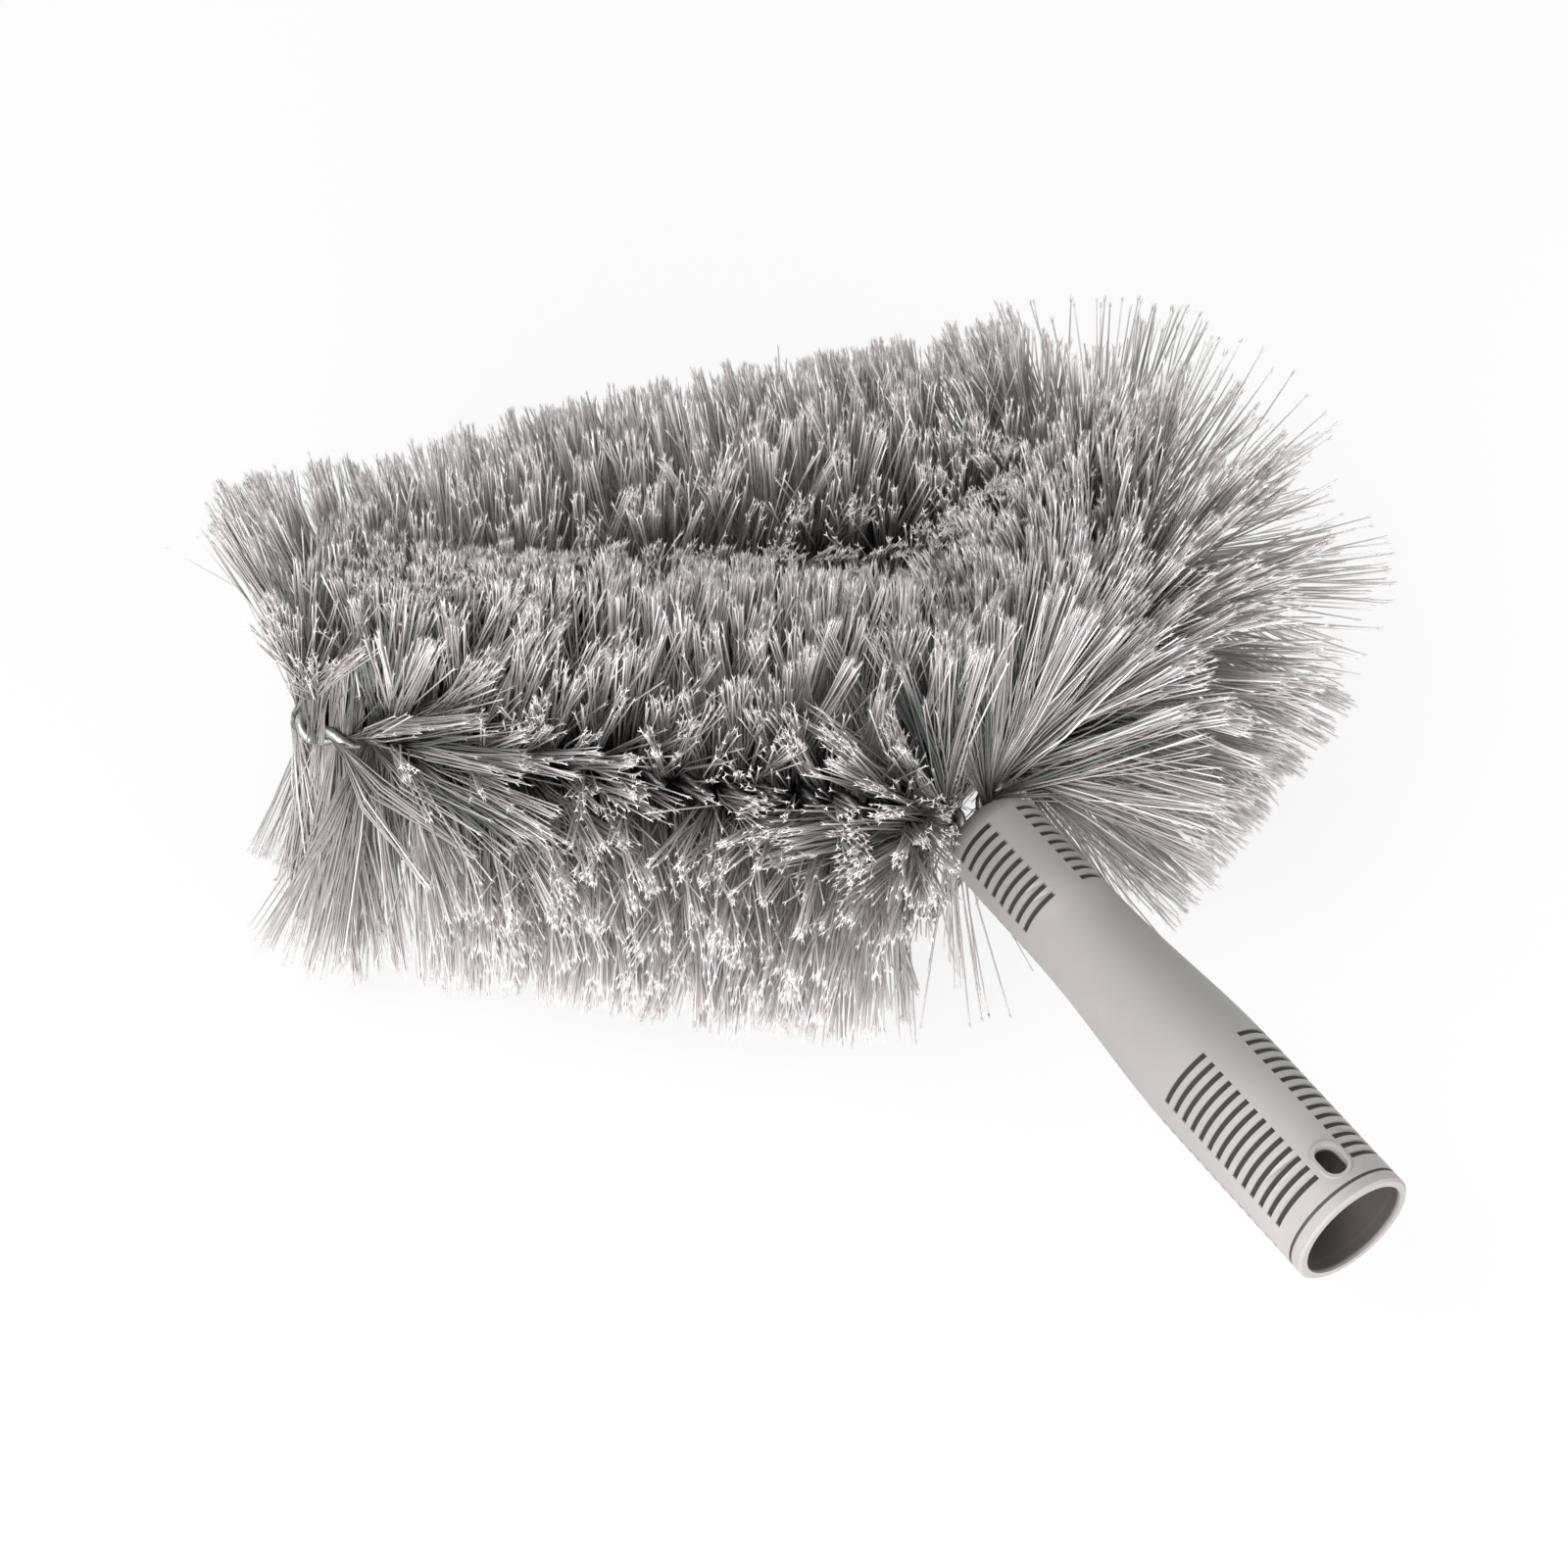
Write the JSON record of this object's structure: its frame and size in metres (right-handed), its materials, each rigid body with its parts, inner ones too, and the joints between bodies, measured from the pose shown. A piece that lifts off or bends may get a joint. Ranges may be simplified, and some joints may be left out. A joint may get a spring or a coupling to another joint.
{
  "type": "cobweb brush",
  "caption": "Cobweb brush: a closed loop of twisted wire with dense radial bristles, set in a moulded pole socket with grip grooves and a snap-button hole.",
  "frame": {"origin": "centre of the pole socket's mouth, on the handle's axis", "axes": "-Y out of the socket's mouth, +Y towards the bristle loop, +Z out of the snap-button hole and square to the loop's plane"},
  "size_m": [0.294, 0.3229, 0.1125],
  "materials": {
    "handle_plastic": "fine matt moulded polypropylene, warm light grey",
    "plug_plastic": "plain moulded plastic, hidden in the neck",
    "galvanised_steel": "drawn galvanised wire",
    "bristle_filament": "flagged grey plastic filament"
  },
  "bodies": {
    "root": {"handle": "handle_plastic", "stem_plug": "plug_plastic", "crimp_ferrule": "galvanised_steel", "wire_strand_a": "galvanised_steel", "wire_strand_b": "galvanised_steel", "bristles_front_1": "bristle_filament", "bristles_front_2": "bristle_filament", "bristles_front_3": "bristle_filament", "bristles_front_4": "bristle_filament", "bristles_front_5": "bristle_filament", "bristles_back_1": "bristle_filament", "bristles_back_2": "bristle_filament", "bristles_back_3": "bristle_filament", "bristles_back_4": "bristle_filament", "bristles_back_5": "bristle_filament", "bristles_back_6": "bristle_filament", "bristles_bend": "bristle_filament", "bristles_side_1": "bristle_filament", "bristles_side_2": "bristle_filament"}
  },
  "joints": []
}
